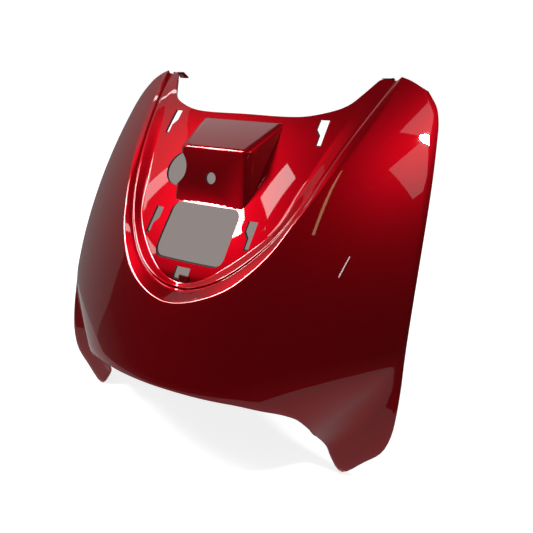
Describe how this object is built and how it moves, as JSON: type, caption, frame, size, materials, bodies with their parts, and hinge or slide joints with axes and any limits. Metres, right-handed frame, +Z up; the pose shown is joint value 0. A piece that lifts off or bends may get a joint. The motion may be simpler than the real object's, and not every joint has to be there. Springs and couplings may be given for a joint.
{
  "type": "scooter front panel",
  "caption": "Moulded scooter front panel: a curved shell with wings, feet and a wheel arch, and a sunken V-shaped field with a hollow box, a window, a cable hole and clip slots.",
  "frame": {"origin": "centre of the screw hole, on the outer face of the box projection", "axes": "+Z up as the panel is fitted, its painted face towards -Y, +X to the right of someone who looks at that face"},
  "size_m": [0.3998, 0.2568, 0.3565],
  "materials": {
    "shell": "metallic candy red under a high-gloss clear coat, on moulded plastic"
  },
  "bodies": {
    "root": {"front_panel": "shell"}
  },
  "joints": []
}
